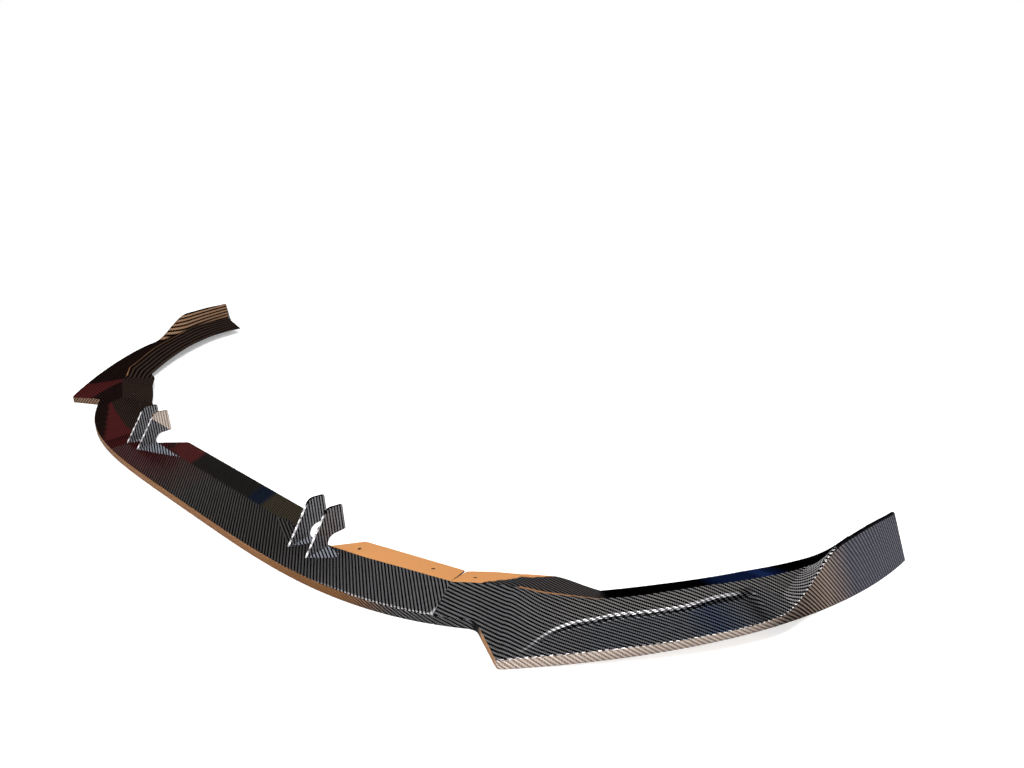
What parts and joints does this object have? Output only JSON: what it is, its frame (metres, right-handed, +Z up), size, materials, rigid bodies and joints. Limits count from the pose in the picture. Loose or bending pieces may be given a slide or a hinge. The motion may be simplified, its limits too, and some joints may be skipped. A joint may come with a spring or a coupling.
{
  "type": "front splitter lip",
  "caption": "Low curved bumper lip with a centre panel, upright fins, pointed side blades and upswept wing ends.",
  "frame": {"origin": "middle of the bounding box, on the floor under the bottom edges", "axes": "+X along the lip towards its right end, +Y from the front edge to the rear, +Z up"},
  "size_m": [1.834, 0.5716, 0.0765],
  "materials": {
    "gloss_film": "woven-pattern film under clear gloss"
  },
  "bodies": {
    "root": {"centre_panel": "gloss_film", "left_side_panel": "gloss_film", "right_side_panel": "gloss_film"}
  },
  "joints": []
}
